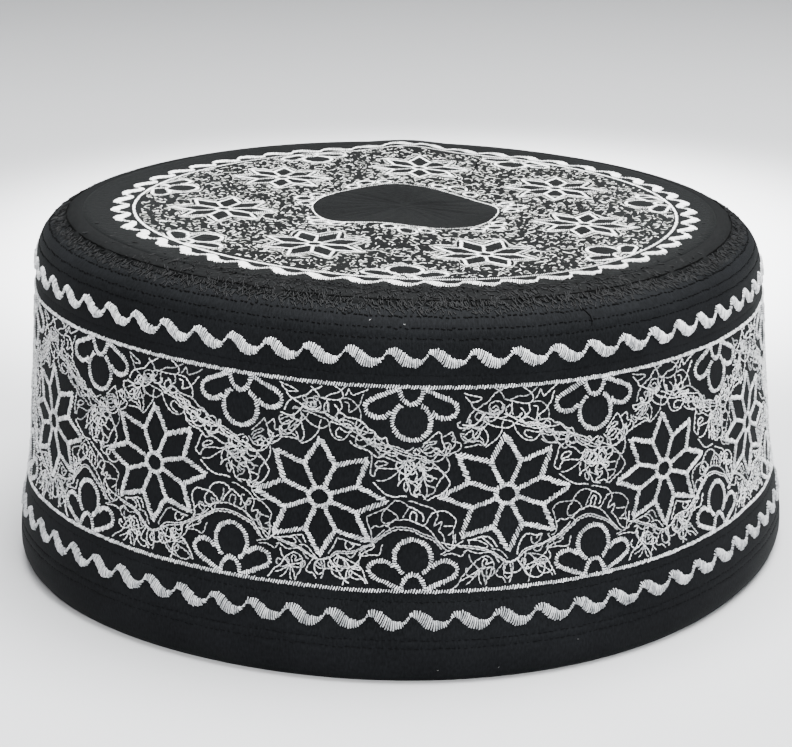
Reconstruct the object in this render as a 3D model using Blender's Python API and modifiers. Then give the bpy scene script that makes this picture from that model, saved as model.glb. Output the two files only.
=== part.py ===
"""A round prayer cap of quilted cloth, standing on its rim.

A padded side band, folded at the rim and turned in at the shoulder, carries a gently domed
crown. A thick overcast seam joins them. Three raised wave borders in satin stitch run round
the hem, under the shoulder and round the crown. Metres, +Z up, front at -Y, origin on the
floor under the cap's middle.
"""

import bpy
import bmesh
from math import atan2, cos, exp, hypot, pi, radians, sin
from mathutils import Vector

# Driving dimensions
HEM_RADIUS = 0.0961           # mean radius of the widest turn of the band, at the hem
CROWN_HEIGHT = 0.0841         # floor to the crown's plain level
BAND_WALL = 0.0027            # two layers of cloth with wadding
CROWN_WALL = 0.0020           # two layers of cloth under dense stitching
TURN_STEPS = 70               # facets round the band and the seam
CROWN_STEPS = 48              # facets round the crown

# The soft cap leans: its left side stands taller than its right, less so towards the rim
LEAN_DROP = 0.0034            # how far the crown's level drops over LEAN_ARM
LEAN_ARM = 0.0900
LEAN_BEND = 0.74              # how the drop grows with height

# Seen from above it isn't quite round: lobes, share of the radius, angle of a crest in degrees
# from the front towards the right
PLAN_LOBES = (
    (2, 0.0169, -35.5),
    (3, 0.0082, 24.9),
    (4, 0.0087, 13.9),
)
MIDDLE_SHIFT = (0.00069, 0.00021)  # puts the middle of the whole outline over the origin

# Outline of the band from the seam down to the hem: place, height, mean outer radius
BAND_SECTIONS = (
    ("seam edge", 0.0818, 0.0826),
    ("turned in", 0.0810, 0.0845),
    ("shoulder", 0.0792, 0.0866),
    ("under the shoulder", 0.0764, 0.0882),
    ("upper wave", 0.0735, 0.0889),
    ("upper line", 0.0660, 0.0896),
    ("star middle", 0.0440, 0.0912),
    ("lower line", 0.0208, 0.0935),
    ("top of the hem fold", 0.0140, 0.0950),
    ("fullest of the hem", 0.0070, HEM_RADIUS),
    ("hem turning under", 0.0025, 0.0958),
    ("near the floor", 0.0007, 0.0949),
)
RIM_FLAT_OUTER = 0.0942       # the rim's flat contact ring on the floor
RIM_FLAT_INNER = 0.0928

# Outline of the crown from its middle to the seam: distance from the middle, drop below it
CROWN_SECTIONS = (
    (0.0000, 0.0000),
    (0.0120, 0.0000),
    (0.0220, 0.0000),
    (0.0340, 0.0000),
    (0.0480, 0.0000),
    (0.0610, 0.0001),
    (0.0700, 0.0002),
    (0.0767, 0.0004),
)

# Swells and hollows of the slack crown: place, across, back, rise, reach across, reach back
CROWN_SWELLS = (
    ("before the middle", -0.004, -0.024, 0.0014, 0.010, 0.011),
    ("behind the middle", -0.002, 0.020, 0.0008, 0.009, 0.014),
    ("hollow behind on the right", 0.018, 0.013, -0.0014, 0.011, 0.012),
    ("hollow before on the right", 0.018, -0.014, -0.0007, 0.009, 0.010),
    ("hollow before on the left", -0.018, -0.012, -0.0008, 0.009, 0.010),
    ("front star", 0.018, -0.043, -0.0006, 0.014, 0.012),
    ("pucker at the back edge", 0.001, 0.067, 0.0017, 0.010, 0.013),
)

# The overcast seam in section, outer side from top to bottom: mean radius, height
SEAM_SECTION = (
    (0.0771, 0.0839),
    (0.0790, 0.0838),
    (0.0810, 0.0829),
    (0.0823, 0.0819),
    (0.0823, 0.0799),
    (0.0771, 0.0812),
)

# Raised wave borders: the middle line of each, how many waves go round it, and where the head
# of the first one is, in degrees from the front towards the right
UPPER_WAVE_HEIGHT = 0.0720
UPPER_WAVE_COUNT = 63
UPPER_WAVE_START = 4.05
LOWER_WAVE_HEIGHT = 0.0143
LOWER_WAVE_COUNT = 65
LOWER_WAVE_START = 1.30
CROWN_WAVE_RADIUS = 0.0698
CROWN_WAVE_COUNT = 49
CROWN_WAVE_START = 2.80
CROWN_PATTERN_MIDDLE = (0.0013, -0.0020)
WAVE_RELIEF = 0.0009          # how far the satin stitches stand up
WAVE_CLEARANCE = 0.0004       # keeps the flat underside off the curved cloth

# One wave from head to head: place, share of its length, lower and upper edge over the middle
# line. The fall is thick and the rise to the next head is thin.
WAVE_OUTLINE = (
    ("head", 0.00, 0.0007, 0.0025),
    ("under the head", 0.20, -0.0007, 0.0019),
    ("body", 0.40, -0.0018, 0.0009),
    ("scoop", 0.58, -0.0021, 0.0001),
    ("end of the scoop", 0.76, -0.0016, -0.0001),
    ("thin rise", 0.89, 0.0003, 0.0013),
)

COLLECTION_NAME = "prayer_cap"


def clear_scene():
    """Empty the scene of its objects."""
    for scene_object in list(bpy.data.objects):
        bpy.data.objects.remove(scene_object, do_unlink=True)


def make_material(name, colour, roughness):
    """A plain Principled finish."""
    material = bpy.data.materials.new(name)
    material.use_nodes = True
    shader = material.node_tree.nodes["Principled BSDF"]
    shader.inputs["Base Color"].default_value = (*colour, 1.0)
    shader.inputs["Roughness"].default_value = roughness
    shader.inputs["Metallic"].default_value = 0.0
    material.diffuse_color = (*colour, 1.0)
    return material


def between(table, key, key_column, value_column):
    """Read a table of sections at a place between two of its rows."""
    rows = sorted(table, key=lambda row: row[key_column])
    for lower, upper in zip(rows, rows[1:]):
        if key <= upper[key_column]:
            break
    share = (key - lower[key_column]) / (upper[key_column] - lower[key_column])
    share = min(max(share, 0.0), 1.0)
    return lower[value_column] + share * (upper[value_column] - lower[value_column])


def plan_share(angle):
    """How far the outline stands out at an angle, as a share of its mean radius."""
    share = 1.0
    for lobes, amount, crest in PLAN_LOBES:
        share += amount * cos(lobes * (angle - radians(crest)))
    return share


def lean(point):
    """Let the soft cap sink to the right, not at all at the rim and most at the crown."""
    sink = LEAN_DROP * max(point.z / CROWN_HEIGHT, 0.0) ** LEAN_BEND
    return Vector((point.x, point.y, point.z - sink * point.x / LEAN_ARM))


def soften(point):
    """Give a point of a truly round cap its place on the soft one."""
    share = plan_share(atan2(point.x, -point.y))
    leaning = lean(Vector((point.x * share, point.y * share, point.z)))
    return leaning + Vector((*MIDDLE_SHIFT, 0.0))


def crown_height(across, back):
    """Height of the crown's upper face over the floor, before the lean."""
    height = CROWN_HEIGHT - between(CROWN_SECTIONS, hypot(across, back), 0, 1)
    for _, middle_across, middle_back, rise, reach_across, reach_back in CROWN_SWELLS:
        along_x = (across - middle_across) / reach_across
        along_y = (back - middle_back) / reach_back
        height += rise * exp(-along_x ** 2 - along_y ** 2)
    return height


def band_section():
    """Closed section of the band: down its outer side, across the rim, up its inner side."""
    outer = [Vector((radius, 0.0, height)) for _, height, radius in BAND_SECTIONS]
    inner = []
    for index in range(len(outer) - 2):
        before = outer[max(index - 1, 0)]
        after = outer[index + 1]
        along = (after - before).normalized()
        inward = Vector((along.z, 0.0, -along.x))
        inner.append(outer[index] + BAND_WALL * inward)
    rim = [Vector((RIM_FLAT_OUTER, 0.0, 0.0)), Vector((RIM_FLAT_INNER, 0.0, 0.0))]
    inner[0].x = outer[0].x
    return outer + rim + inner[::-1]


def turned_mesh(name, section, steps, closed):
    """Turn a section at +X once round the upright axis."""
    mesh = bpy.data.meshes.new(name)
    edges = [(index, index + 1) for index in range(len(section) - 1)]
    if closed:
        edges.append((len(section) - 1, 0))
    mesh.from_pydata([tuple(point) for point in section], edges, [])
    guide = bpy.data.objects.new(name + "_section", mesh)
    bpy.context.scene.collection.objects.link(guide)
    screw = guide.modifiers.new("turn", "SCREW")
    screw.axis = "Z"
    screw.angle = 2.0 * pi
    screw.steps = steps
    screw.render_steps = steps
    screw.use_merge_vertices = True
    screw.merge_threshold = 0.00001
    evaluated = guide.evaluated_get(bpy.context.evaluated_depsgraph_get())
    result = bpy.data.meshes.new_from_object(evaluated)
    result.name = name
    bpy.data.objects.remove(guide, do_unlink=True)
    bpy.data.meshes.remove(mesh)
    return result


def place_piece(name, mesh, material, collection):
    """Put a finished mesh into the cap's collection as one smooth piece."""
    mesh.materials.clear()
    mesh.materials.append(material)
    mesh.shade_smooth()
    mesh.set_sharp_from_angle(angle=radians(40.0))
    piece = bpy.data.objects.new(name, mesh)
    collection.objects.link(piece)
    return piece


def make_side_band(material, collection):
    """The padded upright wall, open below for the head and above for the crown."""
    mesh = turned_mesh("side_band", band_section(), TURN_STEPS, closed=True)
    for vertex in mesh.vertices:
        vertex.co = soften(vertex.co)
    return place_piece("side_band", mesh, material, collection)


def make_crown(material, collection):
    """The domed top: an open sheet with its swells, thickened downwards."""
    section = [Vector((distance, 0.0, 0.0)) for distance, _ in CROWN_SECTIONS]
    mesh = turned_mesh("crown", section, CROWN_STEPS, closed=False)
    for vertex in mesh.vertices:
        across, back = vertex.co.x, vertex.co.y
        vertex.co = soften(Vector((across, back, crown_height(across, back))))
    crown = place_piece("crown", mesh, material, collection)
    thickness = crown.modifiers.new("thickness", "SOLIDIFY")
    thickness.thickness = CROWN_WALL
    thickness.offset = -1.0
    thickness.use_even_offset = True
    return crown


def make_crown_seam(material, collection):
    """The thick overcast edge between the crown and the band."""
    section = [Vector((radius, 0.0, height)) for radius, height in SEAM_SECTION]
    mesh = turned_mesh("crown_seam", section, TURN_STEPS, closed=True)
    for vertex in mesh.vertices:
        vertex.co = soften(vertex.co)
    return place_piece("crown_seam", mesh, material, collection)


def over_band(middle_height):
    """Make a function that lays a border round the band, its upper edge towards the shoulder."""
    def place(angle, offset, lift):
        height = middle_height + offset
        radius = between(BAND_SECTIONS, height, 1, 2) + lift
        return soften(Vector((radius * sin(angle), -radius * cos(angle), height)))
    return place


def over_crown(middle_radius):
    """Make a function that lays a border round the crown, its upper edge towards the middle."""
    def place(angle, offset, lift):
        radius = middle_radius - offset
        across = CROWN_PATTERN_MIDDLE[0] + radius * sin(angle)
        back = CROWN_PATTERN_MIDDLE[1] - radius * cos(angle)
        return soften(Vector((across, back, crown_height(across, back) + lift)))
    return place


def make_wave(name, count, start, place, material, collection):
    """A raised border: a low roof-shaped section that swells and thins along each wave."""
    shape = bmesh.new()
    rings = []
    for index in range(count):
        for _, share, lower, upper in WAVE_OUTLINE:
            angle = radians(start) + 2.0 * pi * (index + share) / count
            ridge = 0.5 * (lower + upper)
            rings.append((
                shape.verts.new(place(angle, lower, WAVE_CLEARANCE)),
                shape.verts.new(place(angle, ridge, WAVE_CLEARANCE + WAVE_RELIEF)),
                shape.verts.new(place(angle, upper, WAVE_CLEARANCE)),
            ))
    for ring, following in zip(rings, rings[1:] + rings[:1]):
        for side in range(len(ring)):
            corner = (side + 1) % len(ring)
            shape.faces.new((ring[side], following[side], following[corner], ring[corner]))
    bmesh.ops.recalc_face_normals(shape, faces=shape.faces)
    mesh = bpy.data.meshes.new(name)
    shape.to_mesh(mesh)
    shape.free()
    return place_piece(name, mesh, material, collection)


def build_cap():
    """Make every piece of the cap."""
    clear_scene()
    collection = bpy.data.collections.new(COLLECTION_NAME)
    bpy.context.scene.collection.children.link(collection)
    cloth = make_material("black_cloth", (0.014, 0.015, 0.018), 0.85)
    overcast = make_material("black_thread", (0.020, 0.020, 0.022), 0.45)
    satin = make_material("light_thread", (0.58, 0.59, 0.60), 0.45)
    make_side_band(cloth, collection)
    make_crown(cloth, collection)
    make_crown_seam(overcast, collection)
    upper = over_band(UPPER_WAVE_HEIGHT)
    lower = over_band(LOWER_WAVE_HEIGHT)
    crown = over_crown(CROWN_WAVE_RADIUS)
    make_wave("upper_wave", UPPER_WAVE_COUNT, UPPER_WAVE_START, upper, satin, collection)
    make_wave("lower_wave", LOWER_WAVE_COUNT, LOWER_WAVE_START, lower, satin, collection)
    make_wave("crown_wave", CROWN_WAVE_COUNT, CROWN_WAVE_START, crown, satin, collection)


build_cap()
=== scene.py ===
import bpy
import bmesh
import numpy as np
from math import cos, pi, radians, sin
from mathutils import Matrix, Vector


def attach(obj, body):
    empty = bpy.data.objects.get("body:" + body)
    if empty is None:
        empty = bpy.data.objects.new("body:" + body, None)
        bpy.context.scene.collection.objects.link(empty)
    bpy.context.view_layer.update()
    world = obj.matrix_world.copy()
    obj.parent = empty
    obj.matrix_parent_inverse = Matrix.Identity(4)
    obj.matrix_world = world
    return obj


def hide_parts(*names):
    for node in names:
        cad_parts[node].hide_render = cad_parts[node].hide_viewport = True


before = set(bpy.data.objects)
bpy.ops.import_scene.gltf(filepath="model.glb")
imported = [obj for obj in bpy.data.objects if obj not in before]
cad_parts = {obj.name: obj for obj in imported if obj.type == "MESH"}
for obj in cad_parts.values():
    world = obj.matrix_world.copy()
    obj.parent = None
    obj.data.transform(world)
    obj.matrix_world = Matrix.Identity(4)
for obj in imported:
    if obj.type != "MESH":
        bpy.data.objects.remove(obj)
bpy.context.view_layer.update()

# ---- The table it stands on, and the light
# A wide sheet of pale matt paper lies on the table. A large soft lamp hangs over it, weaker
# ones stand before it and at its sides, and a small one lights a pool behind the cap.
# The camera's values are the output of a scratch program that fitted the cap to the photo.
CAMERA_PLACE = (0.00069, -0.57129, 0.21821)
CAMERA_TURN = radians(0.2361)
CAMERA_RAISE = radians(72.7533)
CAMERA_ROLL = radians(-0.4634)
CAMERA_LENS = 107.92
FLOOR_REACH = 4.0
ROOM_COLOUR = (0.93, 0.95, 1.0, 1.0)
ROOM_STRENGTH = 0.245
PAPER_COLOUR = (0.440, 0.446, 0.455, 1.0)
PAPER_ROUGHNESS = 0.9


def put_in_scene(name, data):
    """Put an object of some data into the scene."""
    item = bpy.data.objects.new(name, data)
    bpy.context.scene.collection.objects.link(item)
    return item


lens = bpy.data.cameras.new("camera")
lens.sensor_fit = "HORIZONTAL"
lens.sensor_width = 36.0
lens.lens = CAMERA_LENS
lens.clip_start = 0.01
camera = put_in_scene("camera", lens)
camera.matrix_world = (
    Matrix.Translation(CAMERA_PLACE)
    @ Matrix.Rotation(CAMERA_TURN, 4, "Z")
    @ Matrix.Rotation(CAMERA_RAISE, 4, "X")
    @ Matrix.Rotation(CAMERA_ROLL, 4, "Z")
)
bpy.context.scene.camera = camera

LAMPS = (
    # name, place, aimed at, side, watts
    ("lamp_over", (0.14, 0.00, 0.95), (0.04, -0.12, 0.0), 0.70, 52.5),
    ("lamp_left", (-1.30, -0.30, 0.60), (0.0, 0.0, 0.04), 0.70, 6.0),
    ("lamp_right", (1.30, -0.30, 0.60), (0.0, 0.0, 0.04), 0.70, 0.9),
    ("lamp_front", (0.15, -1.00, 0.66), (0.0, -0.22, 0.0), 0.80, 23.5),
)
POOL_PLACE = (0.01, 0.29, 1.30)
POOL_WATTS = 955.0
POOL_SPREAD = radians(19.5)
POOL_LAMP_RADIUS = 0.05


def hang_lamp(name, place, target, side, watts):
    """Hang a square soft lamp and aim it."""
    light = bpy.data.lights.new(name, "AREA")
    light.shape = "SQUARE"
    light.size = side
    light.energy = watts
    lamp = put_in_scene(name, light)
    lamp.location = place
    aim = [end - start for start, end in zip(place, target)]
    lamp.rotation_mode = "QUATERNION"
    lamp.rotation_quaternion = Vector(aim).to_track_quat("-Z", "Y")


for lamp_row in LAMPS:
    hang_lamp(*lamp_row)

pool_light = bpy.data.lights.new("lamp_behind", "SPOT")
pool_light.energy = POOL_WATTS
pool_light.spot_size = POOL_SPREAD
pool_light.spot_blend = 1.0
pool_light.shadow_soft_size = POOL_LAMP_RADIUS
put_in_scene("lamp_behind", pool_light).location = POOL_PLACE

world = bpy.data.worlds.new("room")
bpy.context.scene.world = world
world.use_nodes = True
room_light = world.node_tree.nodes["Background"].inputs
room_light["Color"].default_value = ROOM_COLOUR
room_light["Strength"].default_value = ROOM_STRENGTH


def feed(finish, node, inputs):
    """Set a node's inputs to values, and link those that are another node's output."""
    for socket, value in inputs.items():
        if isinstance(value, bpy.types.NodeSocket):
            finish.node_tree.links.new(value, node.inputs[socket])
        else:
            node.inputs[socket].default_value = value


def shade(finish, inputs):
    """Feed the shader of a material."""
    feed(finish, finish.node_tree.nodes["Principled BSDF"], inputs)


def new_finish(name, inputs):
    """Start a material with these values on its shader."""
    finish = bpy.data.materials.new(name)
    finish.use_nodes = True
    shade(finish, inputs)
    return finish


paper = new_finish("pale_paper", {"Base Color": PAPER_COLOUR, "Roughness": PAPER_ROUGHNESS})
sheet_mesh = bmesh.new()
bmesh.ops.create_grid(sheet_mesh, x_segments=2, y_segments=2, size=FLOOR_REACH)
floor_data = bpy.data.meshes.new("floor")
sheet_mesh.to_mesh(floor_data)
sheet_mesh.free()
floor_data.materials.append(paper)
floor = put_in_scene("floor", floor_data)

# ---- The side band
# A strip of tight black cotton, folded at the rim over wadding and an inner layer, and sewn
# into a ring. Rows of black quilting draw it in. It is turned in at the shoulder.
MM = 0.001
HEM_RADIUS = 96.1
CROWN_HEIGHT = 84.1
BAND_WALL = 2.7
# The lean, the lobes of the plan and 7 of the 13 band radii are the output of a scratch
# program that fitted the cap's outline to the photo, rounded.
LEAN_DROP = 3.4
LEAN_ARM = 90.0
LEAN_BEND = 0.74
PLAN_LOBES = (
    # lobes, amount, crest in degrees
    (2, 0.0169, -35.5), (3, 0.0082, 24.9), (4, 0.0087, 13.9),
)
MIDDLE_SHIFT = (0.69, 0.21)
BAND_SECTIONS = (
    # height, outer radius, in mm, from the floor up
    (0.0, 94.2),
    (0.7, 94.9),
    (2.5, 95.8),
    (7.0, HEM_RADIUS),
    (14.0, 95.0),
    (20.8, 93.5),
    (44.0, 91.2),
    (66.0, 89.6),
    (73.5, 88.9),
    (76.4, 88.2),
    (79.2, 86.6),
    (81.0, 84.5),
    (81.8, 82.6),
)
QUILTING_ROWS = (
    # height in mm, how deep the cloth is drawn in, how high the thread lies
    (80.3, 0.11, -0.05),
    (78.3, 0.09, -0.07),
    (76.2, 0.09, -0.07),
    (68.4, 0.08, -0.15),
    (18.5, 0.05, -0.13),
    (10.1, 0.10, -0.10),
    (8.3, 0.10, -0.10),
)
ROW_REACH = 0.48
BAND_RIPPLES = (
    # waves round the band, slant, start, height
    (9.0, 0.06, 0.0, 0.10), (23.0, -0.13, 1.0, 0.07),
)
MERGE_REACH = 0.001
BAND_TURN_STEPS = 240
RIM_INNER = 92.8


def smooth_reader(rows):
    """Read a table of (place, value) rows along a smooth curve through them."""
    keys, values = np.array(rows, float).T
    slopes = np.gradient(values, keys)
    dense = np.linspace(keys[0], keys[-1], 800)
    cell = np.clip(np.searchsorted(keys, dense) - 1, 0, len(keys) - 2)
    gap = keys[cell + 1] - keys[cell]
    share = (dense - keys[cell]) / gap
    rest = 1.0 - share
    smooth = (
        rest ** 2 * (1.0 + 2.0 * share) * values[cell]
        + share ** 2 * (3.0 - 2.0 * share) * values[cell + 1]
        + rest ** 2 * share * gap * slopes[cell]
        - share ** 2 * rest * gap * slopes[cell + 1]
    )
    return lambda key: np.interp(key, dense, smooth)


band_profile = smooth_reader(BAND_SECTIONS)


def band_radius(angle, height):
    """Outer radius of the round band in mm, with its quilting rows and a soft unevenness."""
    radius = band_profile(height)
    for row_height, depth, _ in QUILTING_ROWS:
        radius = radius - depth * np.exp(-((height - row_height) / ROW_REACH) ** 2)
    fade = np.clip(height / 20.0, 0.0, 1.0) * np.clip((80.0 - height) / 10.0, 0.0, 1.0)
    for waves, slant, start, amount in BAND_RIPPLES:
        radius = radius + fade * amount * np.sin(waves * angle + slant * height + start)
    return radius


def soften(across, back, height):
    """Give points of a truly round cap, in mm, their places on the soft one, in metres."""
    angle = np.arctan2(across, -back)
    share = 1.0
    for lobes, amount, crest in PLAN_LOBES:
        share = share + amount * np.cos(lobes * (angle - radians(crest)))
    across = across * share
    back = back * share
    sink = LEAN_DROP * np.maximum(height / CROWN_HEIGHT, 0.0) ** LEAN_BEND
    height = height - sink * across / LEAN_ARM
    return MM * np.stack((across + MIDDLE_SHIFT[0], back + MIDDLE_SHIFT[1], height), axis=-1)


def at_turn(radius, angle, height):
    """Soft places, in metres, at a radius and an angle from the front towards the right."""
    return soften(radius * np.sin(angle), -radius * np.cos(angle), height)


def turn_section(name, section, steps, closed=True):
    """Turn a section of (radius, height) points, in mm, once round the upright axis."""
    shape = bmesh.new()
    corners = [shape.verts.new((radius, 0.0, height)) for radius, height in section]
    following = corners[1:] + corners[:1] if closed else corners[1:]
    edges = [shape.edges.new(pair) for pair in zip(corners, following)]
    bmesh.ops.spin(shape, geom=corners + edges, cent=(0, 0, 0), axis=(0, 0, 1),
                   angle=2.0 * pi, steps=steps, use_merge=True, use_duplicate=False)
    bmesh.ops.remove_doubles(shape, verts=shape.verts, dist=MERGE_REACH)
    bmesh.ops.recalc_face_normals(shape, faces=shape.faces)
    if not closed and sum(face.normal.z for face in shape.faces) < 0.0:
        bmesh.ops.reverse_faces(shape, faces=shape.faces)
    mesh = bpy.data.meshes.new(name)
    shape.to_mesh(mesh)
    shape.free()
    return mesh


def vertex_places(mesh):
    """All corners of a mesh as an array."""
    places = np.zeros(len(mesh.vertices) * 3)
    mesh.vertices.foreach_get("co", places)
    return places.reshape(-1, 3)


def move_corners(mesh, places):
    """Move all corners of a mesh to new places."""
    mesh.vertices.foreach_set("co", places.ravel())
    mesh.update()


def add_cloth_map(mesh, along, up):
    """Give the cloth its own map: along and up the weave, from 0 to 1, joined behind."""
    corners = np.zeros(len(mesh.loops), np.int32)
    mesh.loops.foreach_get("vertex_index", corners)
    sizes = np.zeros(len(mesh.polygons), np.int32)
    mesh.polygons.foreach_get("loop_total", sizes)
    face = np.repeat(np.arange(len(sizes)), sizes)
    u = along[corners]
    highest = np.full(len(sizes), -9.0)
    np.maximum.at(highest, face, u)
    u = np.where(highest[face] - u > 0.5, u + 1.0, u)
    uv = mesh.uv_layers.new(name="cloth")
    uv.data.foreach_set("uv", np.column_stack((u, up[corners])).ravel())


def finish_piece(name, mesh, finish, slot, *replaced):
    """Put a finished mesh on the cap."""
    mesh.materials.clear()
    mesh.materials.append(finish)
    mesh.shade_smooth()
    piece = put_in_scene(name, mesh)
    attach(piece, "root")
    if replaced:
        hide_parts(*replaced)
    return piece


def add_node(finish, kind, inputs, operation=None):
    """Add a shader node and feed it."""
    node = finish.node_tree.nodes.new("ShaderNode" + kind)
    if operation:
        node.operation = operation
    feed(finish, node, inputs)
    return node


def tint(finish, patches, amount, spots, dark, light):
    """Colour a material from dark to light by fine spots and an amount of broader patches."""
    blend = add_node(finish, "Math", {0: patches, 1: amount, 2: spots}, "MULTIPLY_ADD")
    tone = add_node(finish, "ValToRGB", {"Fac": blend.outputs["Value"]})
    for stop, place, colour in zip(tone.color_ramp.elements, (0.45, 0.90), (dark, light)):
        stop.position = place
        stop.color = (*colour, 1.0)
    shade(finish, {"Base Color": tone.outputs["Color"]})


def cloth_finish(name, dark, light, weave, relief, gloss, sheen):
    """Tight black cotton: uneven dye, a fine weave in the bump, and a soft sheen."""
    finish = new_finish(name, {
        "Roughness": 0.78, "Specular IOR Level": gloss, "Sheen Weight": sheen,
        "Sheen Roughness": 0.35, "Sheen Tint": (0.85, 0.92, 0.90, 1.0)})
    place = add_node(finish, "TexCoord", {}).outputs
    threads = add_node(finish, "Mapping", {"Scale": weave, "Vector": place["UV"]})
    slubs = add_node(finish, "TexNoise", {
        "Scale": 1.0, "Detail": 3.0, "Roughness": 0.65, "Vector": threads.outputs["Vector"]})
    clouds = add_node(finish, "TexNoise", {
        "Scale": 60.0, "Detail": 2.0, "Vector": place["Object"]})
    tint(finish, clouds.outputs["Fac"], 0.35, slubs.outputs["Fac"], dark, light)
    bump = add_node(finish, "Bump", {
        "Strength": 0.55, "Distance": relief, "Height": slubs.outputs["Fac"]})
    shade(finish, {"Normal": bump.outputs["Normal"]})
    return finish


band_heights = set(np.linspace(0.0, BAND_SECTIONS[-1][0], 60).round(3))
for row_height, _, _ in QUILTING_ROWS:
    band_heights |= {round(row_height + step * 0.3, 3) for step in range(-3, 4)}
band_heights = sorted(band_heights, reverse=True)
band_section = [(float(band_profile(height)), height) for height in band_heights]
inner_heights = np.linspace(2.0, 80.6, 24)
inner_section = [(float(band_profile(height)) - BAND_WALL, height) for height in inner_heights]
band_section += [(RIM_INNER, 0.0)] + inner_section
band_mesh = turn_section("band_cloth", band_section, BAND_TURN_STEPS)
places = vertex_places(band_mesh)
angle = np.arctan2(places[:, 0], -places[:, 1])
radius = np.hypot(places[:, 0], places[:, 1])
height = places[:, 2]
outside = radius > band_profile(height) - 0.5 * BAND_WALL
radius = np.where(outside & (height > 0.5), band_radius(angle, height), radius)
add_cloth_map(band_mesh, angle / (2.0 * pi) + 0.5, height / 100.0)
move_corners(band_mesh, at_turn(radius, angle, height))
band_cloth_finish = cloth_finish(
    "black_band_cotton", (0.0015, 0.0018, 0.0021), (0.0063, 0.0070, 0.0080),
    (1400.0, 90.0, 1.0), 0.00012, 0.05, 0.009)
band_cloth = finish_piece("band_cloth", band_mesh, band_cloth_finish, "black_cloth", "side_band")

# ---- The quilting rows
# Plain running stitches in black sewing thread go round the band through all its layers, a little
# sunk in their rows. The thread is painted almost without tone or gloss, a painted shade, so that
# the stitches read as rows of small dark pits.
PATTERN_RADIUS = 91.2
QUILTING_THREAD = 0.38
QUILTING_COUNT = 440
SECTION_REACH = 0.545
hand = np.random.RandomState(11)


def on_band(along, height, lift):
    """Lay flat work on the band: along it from the front to the right, up it, and out, in mm."""
    angle = along / PATTERN_RADIUS
    return at_turn(band_radius(angle, height) + lift, angle, height)


def thread_section(thickness):
    """The three-sided section of the finest threads, as a small closed curve."""
    outline = bpy.data.curves.new("thread_section", "CURVE")
    outline.dimensions = "2D"
    ring = outline.splines.new("POLY")
    ring.points.add(2)
    ring.use_cyclic_u = True
    for number in range(3):
        corner = SECTION_REACH * thickness * MM * Vector((cos(number * pi / 1.5), -sin(number * pi / 1.5)))
        ring.points[number].co = (*corner, 0.0, 1.0)
    return put_in_scene("thread_section", outline)


def lay_threads(name, runs, thickness, finish, slot, *replaced, sides=4):
    """Lay thread along runs of points in metres, as one mesh of fine closed tubes."""
    curve = bpy.data.curves.new(name, "CURVE")
    curve.dimensions = "3D"
    curve.bevel_depth = 0.5 * thickness * MM
    curve.bevel_resolution = 0
    curve.use_fill_caps = True
    helpers = [put_in_scene(name + "_guide", curve)]
    if sides == 3:
        helpers.append(thread_section(thickness))
        curve.bevel_mode = "OBJECT"
        curve.bevel_object = helpers[1]
    for run in runs:
        spline = curve.splines.new("POLY")
        spline.points.add(len(run) - 1)
        spline.points.foreach_set("co", np.column_stack((run, np.ones(len(run)))).ravel())
    depsgraph = bpy.context.evaluated_depsgraph_get()
    mesh = bpy.data.meshes.new_from_object(helpers[0].evaluated_get(depsgraph))
    mesh.name = name
    for helper in helpers:
        outline = helper.data
        bpy.data.objects.remove(helper, do_unlink=True)
        bpy.data.curves.remove(outline)
    finish_piece(name, mesh, finish, slot, *replaced)


def thread_finish(name, dark, light, roughness, sheen, gloss=0.5):
    """Twisted sewing thread: each strand catches the light a little differently."""
    finish = new_finish(name, {
        "Roughness": roughness, "Specular IOR Level": gloss, "Sheen Weight": sheen,
        "Sheen Roughness": 0.3})
    place = add_node(finish, "TexCoord", {})
    strands = add_node(finish, "TexNoise", {
        "Scale": 1500.0, "Detail": 2.0, "Vector": place.outputs["Object"]})
    stitch = add_node(finish, "NewGeometry", {})
    tint(finish, stitch.outputs["Random Per Island"], 0.45, strands.outputs["Fac"], dark, light)
    return finish


def flat_stitches(starts, ends, lift):
    """Straight stitches from start to end points (along, up)."""
    lifts = np.full((len(starts), 1), lift)
    return np.stack((np.hstack((starts, lifts)), np.hstack((ends, lifts))), axis=1)


def arc_stitches(starts, ends, low, high):
    """Stitches from start to end points (along, up), each arched between its sunk ends."""
    middle = 0.5 * (starts + ends)
    count = len(starts)
    return np.stack((
        np.column_stack((starts, np.full(count, low))),
        np.column_stack((middle, np.full(count, high))),
        np.column_stack((ends, np.full(count, low))),
    ), axis=1)


# Painted shade: this black thread is almost without tone or gloss, so its stitches read as shaded pits.
black_thread = thread_finish(
    "black_thread", (0.001, 0.001, 0.001), (0.002, 0.002, 0.002), 0.8, 0.0, 0.02)
quilting = []
for row_height, _, row_lift in QUILTING_ROWS:
    pitch = 2.0 * pi * PATTERN_RADIUS / QUILTING_COUNT
    begin = np.arange(QUILTING_COUNT) * pitch + hand.uniform(-0.16, 0.16, QUILTING_COUNT)
    up = row_height + hand.uniform(-0.11, 0.11, QUILTING_COUNT)
    starts = np.column_stack((begin, up))
    reach = 0.62 * pitch * hand.uniform(0.5, 1.3, QUILTING_COUNT)
    drop = reach * hand.uniform(-0.1, 0.3, QUILTING_COUNT)
    ends = np.column_stack((begin + reach, up - drop))
    quilting.append(flat_stitches(starts, ends, row_lift))
quilting = np.concatenate(quilting)
lay_threads("quilting_rows", on_band(*np.moveaxis(quilting, -1, 0)), QUILTING_THREAD,
            black_thread, "black_thread", sides=3)

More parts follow.
